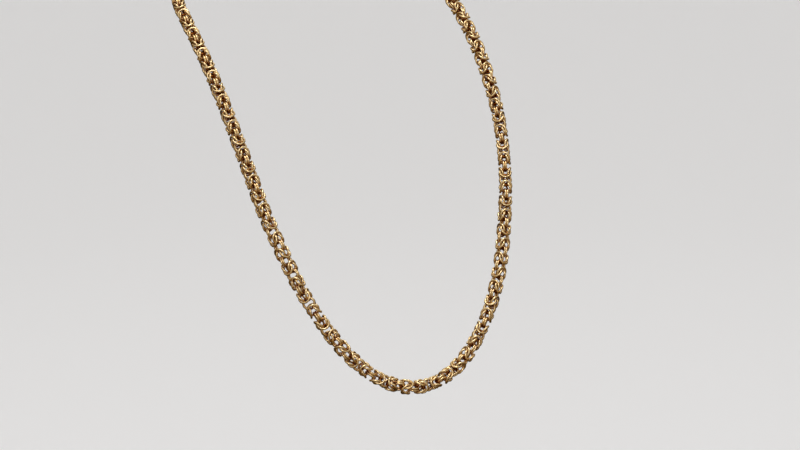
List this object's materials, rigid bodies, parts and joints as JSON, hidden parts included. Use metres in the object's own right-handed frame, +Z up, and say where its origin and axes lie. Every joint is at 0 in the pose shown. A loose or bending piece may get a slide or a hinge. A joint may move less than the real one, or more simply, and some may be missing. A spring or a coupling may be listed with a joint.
{
  "type": "byzantine chain necklace",
  "caption": "Woven neck chain of small interlinked rings, closed into a loop in its worn form, with end caps and a claw clasp at the nape.",
  "frame": {"origin": "at the nape, on the inner side of the loop, where the back of the neck carries the chain", "axes": "+Z up, -Y out from the chest towards someone facing the wearer, +X towards the wearer's left"},
  "size_m": [0.1126, 0.128, 0.1507],
  "materials": {
    "gold_weave": "polished yellow gold wire",
    "gold_findings": "polished yellow gold, cast and soldered"
  },
  "bodies": {
    "root": {"chain": "gold_weave", "cap_left": "gold_findings", "cap_right": "gold_findings", "catch_ring": "gold_findings", "link_ring": "gold_findings", "clasp": "gold_findings"}
  },
  "joints": []
}
